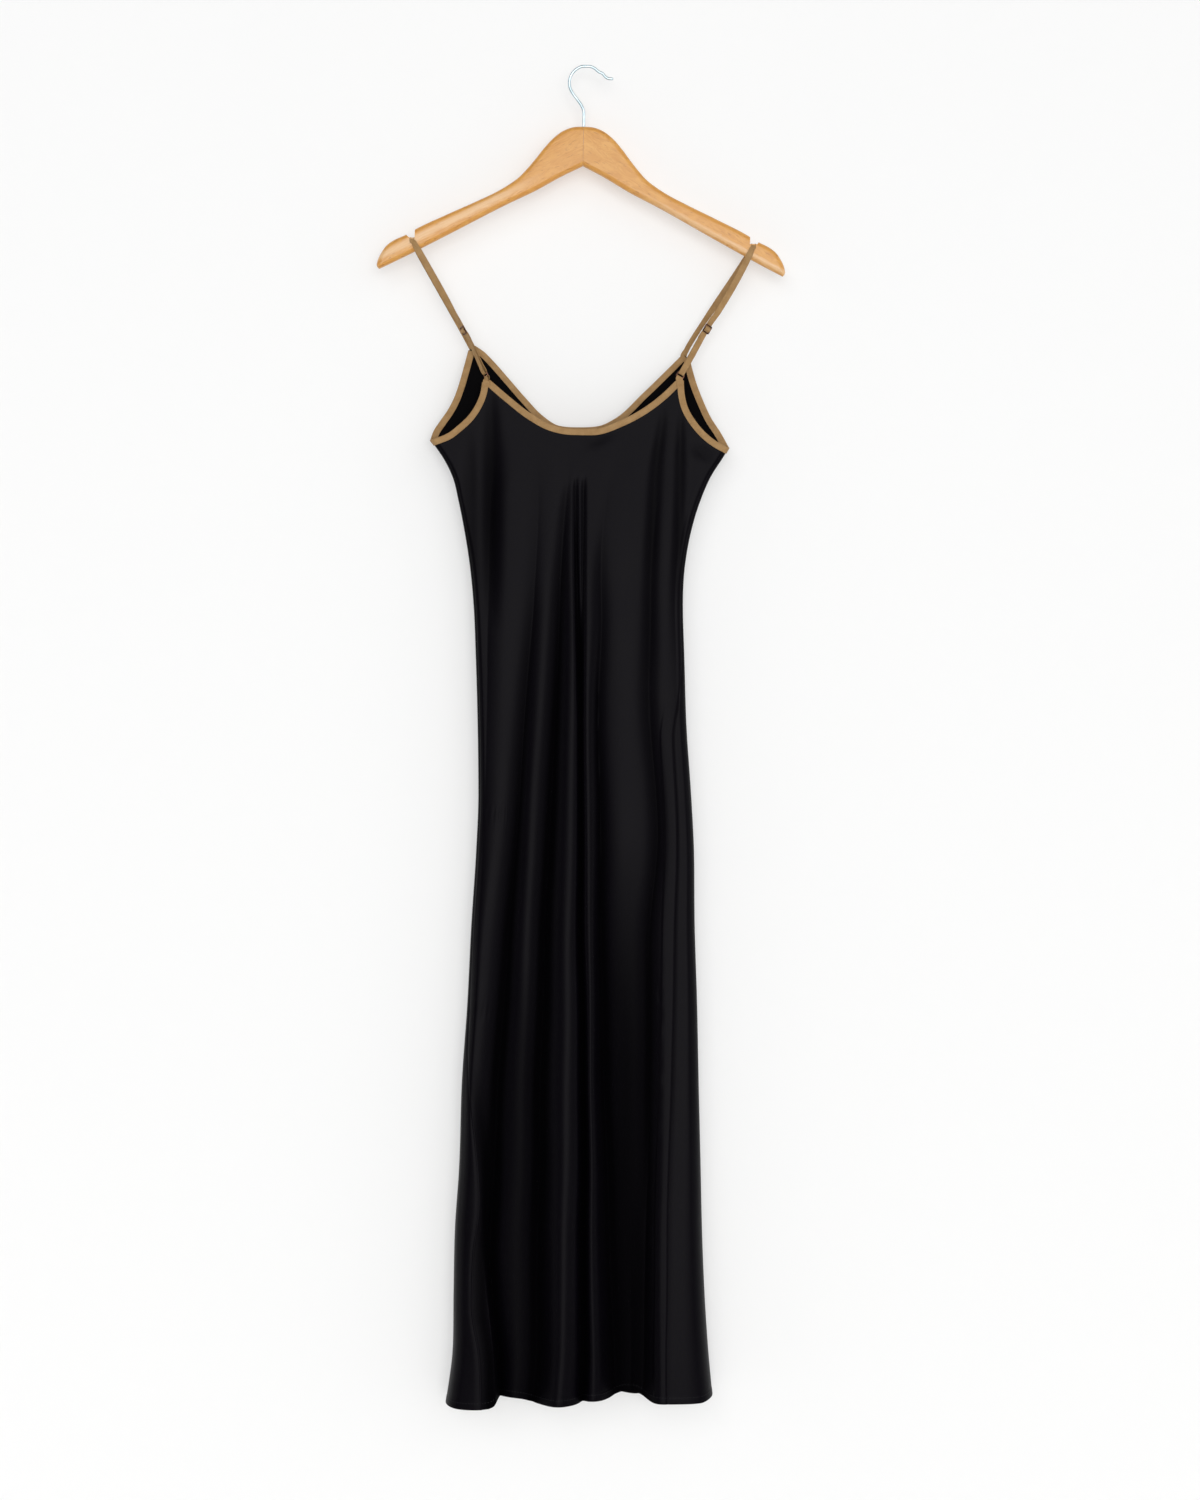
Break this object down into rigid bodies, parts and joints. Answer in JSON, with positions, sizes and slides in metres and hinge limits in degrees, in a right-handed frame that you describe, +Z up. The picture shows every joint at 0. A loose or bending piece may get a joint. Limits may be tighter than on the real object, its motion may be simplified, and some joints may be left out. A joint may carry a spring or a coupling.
{
  "type": "slip dress on a wooden hanger",
  "caption": "Long bias-cut satin slip dress with thin adjustable straps, bound neckline and armholes and a full skirt, hung flat from a notched wooden hanger with a wire hook.",
  "frame": {"origin": "underside of the hook's bend, where the hanger hangs on a nail, rail or peg", "axes": "+Z up along the hang, +X across the hanger to the viewer's right, -Y towards the viewer, out of the dress's lower-cut front"},
  "size_m": [0.4445, 0.0597, 1.4566],
  "materials": {
    "black_satin": "black satin weave with a soft sheen",
    "bronze_satin": "bronze satin tape",
    "beech": "clear varnished honey beech",
    "steel_wire": "bright drawn wire",
    "bronze_metal": "dark antique bronze plating"
  },
  "bodies": {
    "root": {"front_panel": "black_satin", "back_panel": "black_satin", "front_neck_binding": "bronze_satin", "back_neck_binding": "bronze_satin", "left_armhole_binding": "bronze_satin", "right_armhole_binding": "bronze_satin", "left_strap": "bronze_satin", "right_strap": "bronze_satin", "left_ring_tab": "bronze_satin", "right_ring_tab": "bronze_satin", "left_ring": "bronze_metal", "right_ring": "bronze_metal", "left_slider": "bronze_metal", "right_slider": "bronze_metal", "hanger_arm_left": "beech", "hanger_arm_right": "beech", "hook": "steel_wire"}
  },
  "joints": []
}
